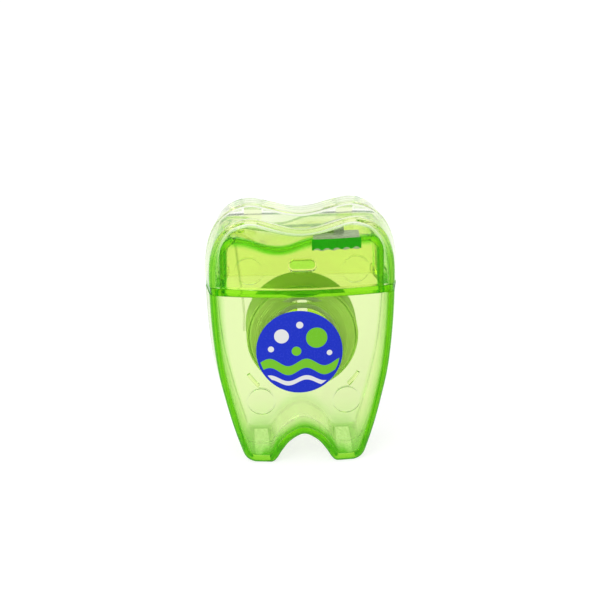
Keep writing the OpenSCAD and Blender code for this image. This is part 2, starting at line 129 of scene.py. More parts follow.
class Nodes:
    """The emptied node tree of a material, a world or a modifier, with one method that adds any node."""

    def __init__(self, tree):
        self.tree = tree
        tree.nodes.clear()

    def add(self, kind, settings=None, inputs=None, output=0):
        node = self.tree.nodes.new(kind)
        for name, value in (settings or {}).items():
            setattr(node, name, value)
        for name, value in (inputs or {}).items():
            if isinstance(value, Value):
                self.tree.links.new(value.socket, node.inputs[name])
            else:
                node.inputs[name].default_value = value
        return Value(self, node.outputs[output]) if node.outputs else node

    def end(self, **parts):
        self.add("ShaderNodeOutputMaterial", inputs=parts)

    def paint(self, inputs):
        """End a material in one plain surface."""
        self.end(Surface=self.add("ShaderNodeBsdfPrincipled", inputs=inputs))

    def share(self, name):
        """The share that is written on the points of a mesh under a name."""
        return self.add("ShaderNodeAttribute", {"attribute_name": name}, output=2)

    def noise(self, place, scale, detail, **others):
        others.update({"Vector": place, "Scale": scale, "Detail": detail})
        return self.add("ShaderNodeTexNoise", inputs=others)

    def bump(self, height, strength, depth):
        inputs = {"Strength": strength, "Distance": metres(depth), "Height": height}
        return self.add("ShaderNodeBump", inputs=inputs)

    def tone(self, factor, start, end):
        """A colour between two others."""
        inputs = {"Factor": factor, 6: start, 7: end}
        return self.add("ShaderNodeMix", {"data_type": "RGBA"}, inputs, output=2)


def new_material(name):
    """A named material, its nodes, and the place on the piece that its patterns follow."""
    material = bpy.data.materials.new(name)
    material.use_nodes = True
    nodes = Nodes(material.node_tree)
    return material, nodes, nodes.add("ShaderNodeTexCoord", output=3)


def seen_directly(nodes):
    """1 for what the camera sees, also in a mirror or through glass, and 0 for light on the rest."""
    path = nodes.add("ShaderNodeLightPath")
    reflected = path.output("Is Glossy Ray").maximum(path.output("Is Transmission Ray"))
    return path.output("Is Camera Ray").maximum(reflected)


world = bpy.data.worlds.new("studio")
bpy.context.scene.world = world
world.use_nodes = True
nodes = Nodes(world.node_tree)
sky = nodes.add("ShaderNodeBackground", inputs={
    "Color": (1, 1, 1, 1),
    "Strength": seen_directly(nodes) * (1 - ambient_level) + ambient_level,
})
nodes.add("ShaderNodeOutputWorld", inputs={"Surface": sky})

lamp_data = bpy.data.lights.new("lamp", "AREA")
lamp_data.size = metres(lamp_width)
lamp_data.energy = lamp_power
lamp = new_object("lamp", lamp_data)
lamp.location = metres(lamp_place)
lamp.rotation_euler = lamp.location.to_track_quat("Z", "Y").to_euler()


def dress(obj, material):
    obj.data.materials.clear()
    obj.data.materials.append(material)


floor_mesh = bpy.data.meshes.new("floor")
reach = metres(floor_width / 2)
floor_mesh.from_pydata(
    [(-reach, -reach, 0), (reach, -reach, 0), (reach, reach, 0), (-reach, reach, 0)], [], [(0, 1, 2, 3)]
)
floor = new_object("floor", floor_mesh)
floor_material, nodes, _ = new_material("floor_paper")
paper = nodes.add("ShaderNodeBsdfDiffuse", inputs={"Color": floor_colour})
glow = nodes.add("ShaderNodeEmission", inputs={
    "Color": (1, 1, 1, 1), "Strength": seen_directly(nodes) * floor_glow,
})
both = nodes.add("ShaderNodeAddShader", inputs={0: paper, 1: glow})
nodes.end(Surface=both)
dress(floor, floor_material)

# Back shell.
# Clear green polystyrene, moulded in one piece: the back half of the tooth, the tall back panel,
# two hinge knuckles and the split post for the spool.
case_w, case_h, case_d = 38.0, 51.3, 19.0
wall = 1.3
draft, back_draft = 0.7, 1.1
edge_r, inner_r = 1.2, 0.5
front_bulge = 2.9
lid_h, flange_t = 15.1, 1.4
front_face = -case_d / 2
seam_z = case_h - lid_h
shell_top = seam_z - flange_t
front_r = ((case_w / 2) ** 2 + front_bulge ** 2) / (2 * front_bulge)
middle_share = 0.53
seam_air = 0.02

# Right half of the tooth outline at mid-depth, from the arch between the roots to the valley: shares
# of the half width and of the height, then how a wall's inner side moves in, then its share of draft.
outline_shares = [
    (0, 0.112, 0, 1, 0.3), (0.132, 0.087, 0.55, 0.83, 0.3), (0.22, 0.046, 0.7, 0.6, 0.4),
    (0.28, 0.013, 0.6, 0.75, 0.3), (0.348, 0, 0.35, 1, 0), (0.516, 0, -0.35, 1, 0),
    (0.62, 0.016, -0.68, 0.73, 0.3), (0.695, 0.061, -0.92, 0.39, 0.8), (0.774, 0.14, -0.957, 0.29, 1),
    (0.85, 0.245, -0.97, 0.24, 1), (0.926, 0.373, -0.985, 0.17, 1), (0.974, 0.53, -0.996, 0.09, 1),
    (0.995, 0.69, -1, 0.02, 1), (0.986, 0.81, -0.98, -0.16, 1), (0.92, 0.9, -0.91, -0.42, 1),
    (0.8, 0.96, -0.66, -0.75, 1), (0.64, 0.992, -0.33, -0.945, 1), (0.49, 1, 0, -1, 1),
    (0.3, 0.983, 0.27, -0.96, 1), (0.14, 0.967, 0.2, -0.98, 1), (0, 0.961, 0, -1, 1),
]
outline_steps = 8


def spline(a, b, c, d, t):
    bend, twist = 2 * a - 5 * b + 4 * c - d, 3 * b - a - 3 * c + d
    return b + (c - a) * t / 2 + bend * t * t / 2 + twist * t ** 3 / 2


def curve_through(rows, steps, closed=False):
    """Rows of numbers with smooth steps between them."""
    rows = np.array(rows, float)
    last = len(rows) - 1

    def row(n):
        return rows[n % (last + 1) if closed else min(max(n, 0), last)]

    points = [
        spline(row(i - 1), row(i), row(i + 1), row(i + 2), s / steps)
        for i in range(last + 1 if closed else last) for s in range(steps)
    ]
    return np.array(points if closed else points + [rows[last]])


left_half = [(-x, z, -u, v, d) for x, z, u, v, d in outline_shares[-2:0:-1]]
tooth_curve = curve_through(outline_shares + left_half, outline_steps, closed=True)


def tooth_outline(inset, lean):
    """The tooth's outline in millimetres, x and z, moved in by a wall and by a lean."""
    move = inset + lean * tooth_curve[:, 4]
    x = tooth_curve[:, 0] * case_w / 2 + tooth_curve[:, 2] * move
    z = np.maximum(tooth_curve[:, 1] * case_h + tooth_curve[:, 3] * move, inset)
    return x, z


def evenly(points, step=0.0, count=0):
    """Points at an even distance along a row: one for each step, or a count of them round a loop."""
    along = np.concatenate(([0], np.cumsum(np.hypot.reduce(np.diff(points, axis=0), axis=1))))
    wanted = np.linspace(0, along[-1], count or int(along[-1] / step), endpoint=not count)
    return np.stack([np.interp(wanted, along, column) for column in points.T], axis=1)


def front_y(x):
    """Depth of the case's curved front face."""
    return front_r - case_d / 2 - np.sqrt(front_r ** 2 - x ** 2)


def back_y(x):
    """Depth of the case's flat back face."""
    return np.full_like(x, case_d / 2)


def half_rings(face, side, inset, radius, lean, lean_steps=8, edge_steps=8, face_steps=9):
    """Rings of one half of a case from mid-depth over its rounded edge to the middle of its face."""
    rings = []
    x, z = tooth_outline(inset, lean)
    edge = face(x) - side * (inset + radius)
    for share in np.arange(lean_steps) / lean_steps:
        x, z = tooth_outline(inset, lean * share)
        rings.append((x, edge * share, z))
    for k in range(edge_steps + 1):
        angle = math.pi / 2 * k / edge_steps
        x, z = tooth_outline(inset + radius * (1 - math.cos(angle)), lean)
        rings.append((x, face(x) - side * (inset + radius * (1 - math.sin(angle))), z))
    middle = middle_share * case_h
    for u in np.arange(1, face_steps) / face_steps:
        flat_x, flat_z = x * (1 - u), z + (middle - z) * u
        rings.append((flat_x, face(flat_x) - side * inset, flat_z))
    end = (0.0, float(face(np.zeros(1))[0]) - side * inset, middle)
    return [np.stack(r, axis=1) for r in rings], end


def bevel_sharp(bm, width, degrees, steps=3):
    """Bevel the edges of a bmesh where faces meet at more than an angle."""
    edges = [e for e in bm.edges if e.calc_face_angle(0) > math.radians(degrees)]
    bmesh.ops.bevel(bm, geom=edges, offset=metres(width), segments=steps, profile=0.5, affect="EDGES")


def closed_mesh(name, points, faces, bevel=None):
    """Mesh from points in millimetres, its faces turned outwards, with a bevel if one is given."""
    mesh = bpy.data.meshes.new(name)
    mesh.from_pydata([metres(p) for p in points], [], faces)
    bm = bmesh.new()
    bm.from_mesh(mesh)
    bmesh.ops.recalc_face_normals(bm, faces=bm.faces)
    if bevel:
        bevel_sharp(bm, *bevel)
    bm.to_mesh(mesh)
    bm.free()
    return mesh


def band_faces(rings, count, base=0, closed=False):
    """Faces between each ring of points and the next, and back to the first if closed."""
    return [
        (base + k * count + i, base + k * count + (i + 1) % count,
         base + (k + 1) % rings * count + (i + 1) % count, base + (k + 1) % rings * count + i)
        for k in range(rings if closed else rings - 1) for i in range(count)
    ]


def skin(name, first, rings, last):
    """Closed mesh through rings of equal count, with a point at each end."""
    count, last_ring = len(rings[0]), 1 + (len(rings) - 1) * len(rings[0])
    points = [first, *np.concatenate(rings), last]
    near = [(0, 1 + (i + 1) % count, 1 + i) for i in range(count)]
    away = [(len(points) - 1, last_ring + i, last_ring + (i + 1) % count) for i in range(count)]
    return closed_mesh(name, points, near + band_faces(len(rings), count, base=1) + away)


def half_case(name, side, face, lean):
    """Half of the case from its rim at mid-depth to the front or the back, as one cup."""
    outer, outer_end = half_rings(face, side, 0, edge_r, lean)
    inner, inner_end = half_rings(face, side, wall, inner_r, lean)
    for rings in (outer, inner):
        rings[0] = rings[0] + np.array([0, side * seam_air / 2, 0])
    return skin(name, outer_end, outer[::-1] + inner, inner_end)


def whole_tooth(name, inset, radius):
    """The closed tooth whose skin lies a given depth under the outer one."""
    front, front_end = half_rings(front_y, -1, inset, radius, draft)
    back, back_end = half_rings(back_y, 1, inset, radius, back_draft)
    return skin(name, front_end, front[::-1] + back[1:], back_end)


def slab(name, low, high):
    """Plain block between two corners, to cut with."""
    mesh = bpy.data.meshes.new(name)
    bm = bmesh.new()
    bmesh.ops.create_cube(bm, size=1)
    low, high = np.array(low, float), np.array(high, float)
    for v in bm.verts:
        v.co = Vector(metres((low + high) / 2 + np.array(v.co) * (high - low)))
    bm.to_mesh(mesh)
    bm.free()
    return mesh


def rod(name, radius, start, end, segments=96, bevel=0.0):
    """Cylinder between two points, with its end edges bevelled."""
    start, end = Vector(metres(start)), Vector(metres(end))
    mesh = bpy.data.meshes.new(name)
    bm = bmesh.new()
    bmesh.ops.create_cone(
        bm, cap_ends=True, segments=segments, radius1=metres(radius), radius2=metres(radius),
        depth=(end - start).length,
    )
    if bevel:
        bevel_sharp(bm, bevel, 50)
    turn = (end - start).to_track_quat("Z", "Y").to_matrix().to_4x4()
    bm.transform(Matrix.Translation((start + end) / 2) @ turn)
    bm.to_mesh(mesh)
    bm.free()
    return mesh


def evaluated_mesh(obj):
    """Plain mesh of an object with its modifiers applied."""
    bpy.context.view_layer.update()
    evaluated = obj.evaluated_get(bpy.context.evaluated_depsgraph_get())
    return bpy.data.meshes.new_from_object(evaluated)


def combined(mesh, operation, *others):
    """Mesh joined to, cut by or kept inside each of the other closed meshes in turn."""
    obj = new_object("work", mesh)
    for other in others:
        tool = new_object("tool", other)
        modifier = obj.modifiers.new("join", "BOOLEAN")
        modifier.operation, modifier.solver, modifier.object = operation, "EXACT", tool
        result = evaluated_mesh(obj)
        obj.modifiers.clear()
        obj.data = result
        bpy.data.objects.remove(tool)
    result = obj.data
    bpy.data.objects.remove(obj)
    return result


def sliced(mesh, point, normal):
    """Closed mesh without the side of a plane that its normal points to, with the cut filled."""
    bm = bmesh.new()
    bm.from_mesh(mesh)
    bmesh.ops.bisect_plane(
        bm, geom=bm.verts[:] + bm.edges[:] + bm.faces[:], dist=metres(0.0005),
        plane_co=metres(point), plane_no=normal, clear_outer=True,
    )
    rim = [e for e in bm.edges if e.is_boundary]
    bmesh.ops.triangle_fill(bm, edges=rim, use_beauty=True, normal=normal)
    bmesh.ops.recalc_face_normals(bm, faces=bm.faces)
    bm.to_mesh(mesh)
    bm.free()
    return mesh


def cleaned(mesh, gap=0.004):
    """Mesh with the slivers that a cut leaves merged away."""
    bm = bmesh.new()
    bm.from_mesh(mesh)
    bmesh.ops.remove_doubles(bm, verts=bm.verts, dist=metres(gap))
    bmesh.ops.dissolve_degenerate(bm, edges=bm.edges, dist=metres(gap))
    bm.to_mesh(mesh)
    bm.free()
    return mesh


knuckle_r, rod_r, rod_fit = 1.25, 0.65, 0.05
knuckle_bevel = 0.12
hinge_x, knuckle_w, cheek_w = 9.2, 3.2, 2.4
lid_gap = 0.3
hinge_drop = 3.5
hinge_y = case_d / 2 - knuckle_r - rod_fit
hinge_z = case_h - hinge_drop
rim_drop = 1.16 * knuckle_r
panel_top = hinge_z - math.hypot(rim_drop, case_d / 2 - hinge_y) - lid_gap
panel_y = case_d / 2 - wall
far = 100.0

spool_height_share = 0.62
arch_top = outline_shares[0][1] * case_h + wall
spool_z = arch_top + spool_height_share * (seam_z - arch_top)
floss_w, floss_r = 9.0, 11.0
core_overhang, core_fit, core_wall = 0.2, 0.05, 0.9
spool_half = floss_w / 2 + core_overhang
hub_r, hub_wall, hub_slot = 6.0, 1.2, 2.0
snap_r, snap_t = 0.3, 0.6
hub_front = -spool_half - lid_gap - snap_t
core_r = hub_r + core_fit + core_wall


def along_y(name, radius, x, z, y0, y1, bevel=0.0, segments=128):
    return rod(name, radius, (x, y0, z), (x, y1, z), segments, bevel)


def along_x(name, radius, x0, x1, bevel=0.0, segments=64):
    return rod(name, radius, (x0, hinge_y, hinge_z), (x1, hinge_y, hinge_z), segments, bevel)


def upright(name, radius, x, y, z0, z1, bevel=0.0, segments=64):
    return rod(name, radius, (x, y, z0), (x, y, z1), segments, bevel)


def mark(mesh, share_at, name="edge"):
    """Write a share from 0 to 1 on every point: how much painted deeper green and glow it gets, or how pale.
    """
    points = np.zeros(len(mesh.vertices) * 3)
    mesh.vertices.foreach_get("co", points)
    x, y, z = points.reshape(-1, 3).T * 1000
    shares = np.clip(share_at(x, y, z), 0, 1)
    mesh.attributes.new(name, "FLOAT", "POINT").data.foreach_set("value", shares)
    return mesh


def fade(distance, span):
    """1 up to the start of a span in millimetres, falling to 0 at its end."""
    return np.clip((span[1] - distance) / (span[1] - span[0]), 0, 1)


# Where the painted deeper green and glow of the edges fade, standing in for light that runs far through
# the plastic: in from the outline, in from the front and back faces and up from the ground. The arch and
# the ends of the roots get more of it, as they look thicker than the rest.
edge_fade, edge_depth, back_edge_share = (1.3, 1.8), (1.3, 2.2), 0.2
edge_lean = 0.8
arch_fade_x, arch_fade_z = (7.5, 9.0), (9.0, 11.0)
arch_widening, arch_share = 0.8, 0.12
root_fade, root_share = (1.0, 7.5), 0.25
toe_fade, toe_share = (1.0, 2.0), 0.3


def tooth_painted_edge(x, y, z):
    """Painted edge share on the tooth: full along the outline of its front face, weaker along the back."""
    outline = zip(*tooth_outline(0, draft * edge_lean))
    away = np.min([np.hypot(x - px, z - pz) for px, pz in outline], axis=0)
    round_arch = fade(np.abs(x), arch_fade_x) * fade(z, arch_fade_z)
    along_outline = fade(away - arch_widening * round_arch, edge_fade)
    front = fade(y - front_y(x), edge_depth)
    back = fade(case_d / 2 - y, edge_depth) * back_edge_share
    thick = root_share * fade(z, root_fade) + toe_share * fade(z, toe_fade)
    rim = np.maximum(np.maximum(front, back), arch_share * round_arch)
    return np.maximum(along_outline * rim, thick)


shell = sliced(half_case("back_shell", 1, back_y, back_draft), (0, 0, panel_top), (0, 0, 1))
over_shell = slab("over_shell", (-far, -far, shell_top - seam_air), (far, panel_y, far))
shell = combined(shell, "DIFFERENCE", over_shell)
knuckles = []
for side in (-1, 1):
    x0 = side * hinge_x - knuckle_w / 2
    web_end = (x0 + knuckle_w, hinge_y + knuckle_r / 2, hinge_z)
    knuckles += [
        slab("web", (x0, hinge_y - knuckle_r, panel_top - wall), web_end),
        along_x("knuckle", knuckle_r, x0, x0 + knuckle_w, bevel=knuckle_bevel),
    ]
post_foot = panel_y + wall / 2
post = combined(
    along_y("post", hub_r, 0, spool_z, hub_front, post_foot, bevel=0.2), "UNION",
    along_y("snap_lip", hub_r + snap_r, 0, spool_z, hub_front + seam_air, hub_front + snap_t, bevel=0.15),
    along_y("stop_ring", core_r, 0, spool_z, spool_half + lid_gap, post_foot - seam_air, bevel=0.1),
)
post = combined(
    post, "DIFFERENCE",
    along_y("hollow", hub_r - hub_wall, 0, spool_z, hub_front - 1, panel_y),
    slab("slot", (-hub_slot / 2, hub_front - 1, 0), (hub_slot / 2, spool_half + lid_gap, far)),
)
shell = combined(shell, "UNION", post, *knuckles)
bores = [
    along_x("bore", rod_r + rod_fit, side * hinge_x - knuckle_w, side * hinge_x + knuckle_w)
    for side in (-1, 1)
]
shell = mark(cleaned(combined(shell, "DIFFERENCE", *bores)), tooth_painted_edge)


tint_density = 320.0
tint_colour = (0.86, 0.965, 0.2, 1)
face_tint = (0.92, 0.955, 0.93, 1)
# Painted deeper green and painted glow for the edges, standing in for light that runs far in the plastic.
painted_edge_tint = (0.3, 0.83, 0.04, 1)
painted_rim_glow, painted_rim_glow_share = (0.12, 0.66, 0.02, 1), 0.5
gloss_tint = (0.3, 0.7, 0.12, 1)
clear = (1, 1, 1, 1)


def clear_green(name, face_tint, painted_edge_tint=painted_edge_tint, painted_rim_glow=painted_rim_glow, painted_rim_glow_share=painted_rim_glow_share,
                density=tint_density):
    """Clear tinted polystyrene, greener the further light goes in it, edges painted greener and glowing."""
    material, nodes, place = new_material(name)
    edge, pale, painted_dark = nodes.share("edge"), nodes.share("pale"), nodes.share("painted_dark")
    tint = nodes.tone(pale, nodes.tone(edge, face_tint, painted_edge_tint), clear)
    haze = nodes.noise(place, 900.0, 3.0)
    ripple = nodes.noise(place, 140.0, 1.0)
    plastic = nodes.add("ShaderNodeBsdfPrincipled", inputs={
        "Base Color": tint,
        "Roughness": haze * 0.02 + 0.03,
        "IOR": 1.47,
        "Specular Tint": gloss_tint,
        "Transmission Weight": 1.0,
        "Normal": nodes.bump(ripple, 0.04, 0.3),
    })
    # Painted glow: a diffuse green mixed in by the edge share, and in full on the neck's painted lip.
    rim = nodes.add("ShaderNodeBsdfDiffuse", inputs={"Color": painted_rim_glow})
    rim_glow_mix = (edge * edge * painted_rim_glow_share).maximum(painted_dark)
    surface = nodes.add("ShaderNodeMixShader", inputs={0: rim_glow_mix, 1: plastic, 2: rim})
    depth = nodes.add("ShaderNodeVolumeAbsorption", inputs={"Color": tint_colour, "Density": density})
    nodes.end(Surface=surface, Volume=depth)
    return material


case_plastic = clear_green("case_plastic", face_tint)


def place_piece(name, mesh, material, body, slot, *nodes_replaced, sharp_degrees=32):
    """Add a piece to the scene, with smooth shading and hard edges where faces meet at a larger angle."""
    mesh.shade_smooth()
    mesh.set_sharp_from_angle(angle=math.radians(sharp_degrees))
    obj = new_object(name, mesh)
    obj.data.name = name
    dress(obj, material)
    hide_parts(*nodes_replaced)
    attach(obj, body)
    return obj


place_piece("back_shell_moulding", shell, case_plastic, "case", "case_plastic", "back_shell")

# Spool core.
# A pale green moulded sleeve that the floss is wound on. It turns on the split post of the back shell,
# between the snap lip in front and the stop ring behind.


def turned(name, profile, steps=144):
    """Solid turned about the spool's axis from a closed profile of radii and depths."""
    angles = np.linspace(0, 2 * math.pi, steps, endpoint=False)
    points = [(r * math.cos(a), y, spool_z + r * math.sin(a)) for a in angles for r, y in profile]
    return closed_mesh(name, points, band_faces(steps, len(profile), closed=True))


def rounded_box_profile(r0, r1, y0, y1, radius, steps=4):
    """Closed rectangle of radii and depths with rounded corners."""
    corners = [(r1 - radius, y1 - radius, 0), (r0 + radius, y1 - radius, 90),
               (r0 + radius, y0 + radius, 180), (r1 - radius, y0 + radius, 270)]
    turns = [(x, y, math.radians(a + 90 * k / steps)) for x, y, a in corners for k in range(steps + 1)]
    return [(x + radius * math.cos(a), y + radius * math.sin(a)) for x, y, a in turns]


core = turned("spool_core", rounded_box_profile(hub_r + core_fit, core_r, -spool_half, spool_half, 0.15))
core_plastic, nodes, place = new_material("core_plastic")
grain = nodes.noise(place, 2400.0, 2.0)
nodes.paint({
    "Base Color": nodes.tone(nodes.noise(place, 160.0, 1.0), (0.66, 0.88, 0.48, 1), (0.7, 0.9, 0.52, 1)),
    "Roughness": grain * 0.1 + 0.3,
    "Subsurface Weight": 0.15,
    "Subsurface Radius": (0.6, 0.6, 0.6),
    "Subsurface Scale": metres(1.0),
    "Normal": nodes.bump(grain, 0.08, 0.05),
})
place_piece("spool_core_sleeve", core, core_plastic, "spool", "core_plastic", "spool_core")

# Wound floss, inner layers.
# Some ten metres of waxed mint green thread, wound tight on the core, whose ends show its layers.
turn_d = 0.46
turn_path_r = floss_r - turn_d / 2
facet_half_angle, pack_air = 7.5, 0.01
pack_r = turn_path_r * math.cos(math.radians(facet_half_angle)) - turn_d / 2 - pack_air
layer = 0.4
layer_count = round((pack_r - core_r) / layer)
end_steps = 4 * layer_count
end_gap, ripple_h, uneven_h, uneven_step = 0.12, 0.05, 0.05, 23.7
shoulder_share, shoulder_drop = 0.9, 0.2
strand_see_through = 0.88


def pack_end(share, side, seed):
    """One end of the wound mass: a ripple for every layer, and layers that end a little unevenly."""
    r = core_r + (pack_r - core_r) * share
    ripple = ripple_h * abs(math.sin(math.pi * share * layer_count))
    uneven = uneven_h * math.sin(seed + uneven_step * math.floor(share * layer_count))
    fall = shoulder_drop * max(0, share - shoulder_share) / (1 - shoulder_share)
    return r, side * (floss_w / 2 - end_gap + ripple + uneven - fall)


ends = [[pack_end(i / end_steps, *end) for i in range(end_steps + 1)] for end in ((-1, 1.0), (1, 2.0))]
wound = turned("floss_pack", ends[0] + ends[1][::-1])
floss_material, nodes, place = new_material("floss")
fibre = nodes.noise(place, 5200.0, 3.0, Roughness=0.6)
patch = nodes.noise(place, 420.0, 2.0)
# A thread marked pale is painted lighter and partly see-through: painted light where it lies in shade.
strand_painted_light = nodes.share("pale")
wound_tone = nodes.tone(patch, (0.6, 1.0, 0.2, 1), (0.68, 1.0, 0.27, 1))
nodes.paint({
    "Base Color": nodes.tone(strand_painted_light, wound_tone, (0.9, 1.0, 0.66, 1)),
    "Alpha": 1 - strand_painted_light * strand_see_through,
    "Roughness": patch * 0.15 + 0.4,
    "Sheen Weight": 0.15,
    "Normal": nodes.bump(fibre, 0.3, 0.04),
})
place_piece("floss_inner_layers", wound, floss_material, "spool", "floss", "floss_pack", sharp_degrees=60)

# Wound floss, outer turns.
# The last layer is one thread that runs side by side from the front edge of the spool to the back.
turn_spacing = 0.48
turn_count = round((floss_w - turn_d) / turn_spacing)
turn_steps, turn_sides = 72, 8
turn_wander = 0.06
winding = {
    "Radius": metres(turn_path_r), "Width": metres(floss_w - turn_d), "Turns": float(turn_count),
    "Thickness": metres(turn_d), "Height": metres(spool_z),
}


def winding_tree(material):
    """Node tree that winds one thread about the spool's axis as a close helix."""
    tree = bpy.data.node_groups.new("wound_turns", "GeometryNodeTree")
    tree.interface.new_socket("Geometry", in_out="OUTPUT", socket_type="NodeSocketGeometry")
    for label in winding:
        tree.interface.new_socket(label, in_out="INPUT", socket_type="NodeSocketFloat")
    nodes = Nodes(tree)
    given = nodes.add("NodeGroupInput")
    radius, width, turns, thickness, height = (given.output(label) for label in winding)
    spiral = nodes.add("GeometryNodeCurveSpiral", inputs={
        "Resolution": turn_steps, "Rotations": turns, "Start Radius": radius, "End Radius": radius,
        "Height": width,
    })
    centre = nodes.add("ShaderNodeCombineXYZ", inputs={"Y": width * 0.5, "Z": height})
    helix = nodes.add("GeometryNodeTransform", inputs={
        "Geometry": spiral, "Translation": centre, "Rotation": (math.pi / 2, 0, 0),
    })
    slack = nodes.add("ShaderNodeTexNoise", inputs={"Scale": 700.0, "Detail": 1.0}, output="Color")
    wander = nodes.add("ShaderNodeVectorMath", {"operation": "SUBTRACT"}, {0: slack, 1: (0.5, 0.5, 0.5)})
    offset = nodes.add(
        "ShaderNodeVectorMath", {"operation": "SCALE"}, {0: wander, "Scale": metres(turn_wander)}
    )
    helix = nodes.add("GeometryNodeSetPosition", inputs={"Geometry": helix, "Offset": offset})
    section = nodes.add("GeometryNodeCurvePrimitiveCircle", inputs={
        "Resolution": turn_sides, "Radius": thickness * 0.5,
    })
    tube = nodes.add("GeometryNodeCurveToMesh", inputs={
        "Curve": helix, "Profile Curve": section, "Fill Caps": True,
    })
    solid = nodes.add("GeometryNodeRealizeInstances", inputs={"Geometry": tube})
    coloured = nodes.add("GeometryNodeSetMaterial", inputs={"Geometry": solid, "Material": material})
    nodes.add("NodeGroupOutput", inputs={"Geometry": coloured})
    return tree


def made_by(name, tree, values):
    """Plain mesh that a node tree makes from the given values, by the names of its inputs."""
    obj = new_object(name, bpy.data.meshes.new(name))
    modifier = obj.modifiers.new("maker", "NODES")
    modifier.node_group = tree
    for item in tree.interface.items_tree:
        if item.name in values:
            modifier[item.identifier] = values[item.name]
    mesh = evaluated_mesh(obj)
    bpy.data.objects.remove(obj)
    return mesh


turns = made_by("floss_turns", winding_tree(floss_material), winding)
place_piece("floss_outer_turns", turns, floss_material, "spool", "floss", "floss_turns", sharp_degrees=80)

# Front shell.
# The same clear green as the back. It closes over the spool, with a slanted thumb recess in the
# middle of its top edge and, on its inner face, two short ribs and the marks of two ejector pins.
thumb_w, thumb_h, thumb_d = 12.0, 1.0, 0.7
mark_r, mark_w, mark_t = 2.8, 0.25, 0.35
mark_x, mark_z = 8.4, 13.0
rib_gap, rib_t, rib_h, rib_spread = 1.4, 0.6, 1.2, (32, 46)
rib_r = floss_r + rib_gap


def ring_mark(x, z):
    """Thin circular groove that an ejector pin leaves on the inside of the curved front."""
    groove = combined(
        along_y("mark", mark_r, x, z, -case_d, 0), "DIFFERENCE",
        along_y("mark_middle", mark_r - mark_w, x, z, -case_d - 1, 1),
    )
    y = front_r + front_face + wall - mark_t
    return combined(groove, "INTERSECT", upright("mark_depth", front_r, 0, y, -1, far, segments=512))


def front_inside(x):
    return front_y(np.asarray(x, float)) + wall


def bar(name, start, end, bevel=None):
    """Closed bar between two outlines of equal count."""
    count = len(start)
    faces = [tuple(range(count)), tuple(range(2 * count - 1, count - 1, -1))]
    faces += [(i, i + count, (i + 1) % count + count, (i + 1) % count) for i in range(count)]
    return closed_mesh(name, start + end, faces, bevel)


def bar_along_y(name, outline, y0, y1, bevel=None):
    """Bar through the depth of the case from an x, z outline."""
    return bar(name, [(x, y0, z) for x, z in outline], [(x, y1, z) for x, z in outline], bevel)


def rib(start, steps=24):
    """Short curved rib about the spool's axis, from an angle on."""
    angles = np.radians(np.linspace(start, start + rib_spread[1] - rib_spread[0], steps + 1))
    sides = [(rib_r, a) for a in angles] + [(rib_r + rib_t, a) for a in angles[::-1]]
    outline = [(r * math.cos(a), spool_z + r * math.sin(a)) for r, a in sides]
    return bar_along_y("rib", outline, rib_foot - wall / 2, rib_foot + rib_h)


front = sliced(half_case("front_shell", -1, front_y, draft), (0, 0, shell_top - seam_air), (0, 0, 1))
thumb_side = [
    (front_face - 1, shell_top - thumb_h), (front_face, shell_top - thumb_h),
    (front_face + thumb_d, shell_top), (front_face + thumb_d, shell_top + 1), (front_face - 1, shell_top + 1),
]
thumb = bar("thumb", *([(x, y, z) for y, z in thumb_side] for x in (-thumb_w / 2, thumb_w / 2)))
marks = [ring_mark(s * mark_x, mark_z) for s in (-1, 1)]
rib_foot = float(front_inside(rib_r * math.cos(math.radians(rib_spread[1]))))
ribs = [rib(180 + rib_spread[0]), rib(360 - rib_spread[1])]
front = combined(combined(front, "DIFFERENCE", thumb, *marks), "UNION", *ribs)
front = mark(cleaned(front), tooth_painted_edge)
place_piece("front_shell_moulding", front, case_plastic, "case", "case_plastic", "front_shell")

# Label.
# A round blue film on the front shell, printed in green and white and sealed flat.
label_r, label_z, label_t, label_off = 8.5, 23.6, 0.12, 0.8
label_air, label_edge_thin = 0.01, 0.04


def label_disc(rings=24, steps=144):
    """Thin round film that follows the curve of the front."""
    angles = np.linspace(0, 2 * math.pi, steps, endpoint=False)

    def ring(k, depth):
        r = label_r * k / rings
        x, z = r * np.cos(angles) - label_off, label_z + r * np.sin(angles)
        return np.stack([x, front_y(x) - depth, z], axis=1)

    film = [ring(k, label_t - (label_edge_thin if k == rings else 0)) for k in range(1, rings + 1)]
    film += [ring(k, label_air) for k in range(rings, 0, -1)]
    first, last = (ring(0, depth)[0] for depth in (label_t, label_air))
    return skin("front_label", first, film, last)


label_film, nodes, place = new_material("label_film")
axes = nodes.add("ShaderNodeSeparateXYZ", inputs={0: place})
across, up = axes.output("X") * 1000.0 + label_off, axes.output("Z") * 1000.0 - label_z

# The print: each disc's middle and radius, and each wave's height, thickness and rise.
green_discs, green_wave = [(3.4, 2.9, 2.1), (-0.6, 0.2, 0.95)], (-3.1, 1.9, 0.75)
white_discs = [(-3.5, 3.3, 1.45), (0.1, 5.6, 0.7), (-5.6, 0.6, 0.6), (5.9, -0.3, 0.55)]
white_wave = (-5.9, 0.9, 0.6)
wave_length, wave_shift = 7.2, 0.4
print_border, print_softness = 0.5, 0.06


def inked(depth):
    """1 inside a printed shape, by the depth in it, with an edge as soft as print."""
    return (depth * (1 / print_softness) + 0.5).math("MINIMUM", 1.0).maximum(0.0)


def disc_mask(x, z, r):
    dx, dz = across - x, up - z
    return inked(r - (dx * dx + dz * dz).math("SQRT"))


def print_mask(wave, discs):
    """1 inside a wavy band and inside each of some discs."""
    z, thickness, rise = wave
    middle = (across * (2 * math.pi / wave_length) + wave_shift).math("SINE") * rise + z
    mask = inked(thickness / 2 - (up - middle).math("ABSOLUTE"))
    for disc in discs:
        mask = mask.maximum(disc_mask(*disc))
    return mask


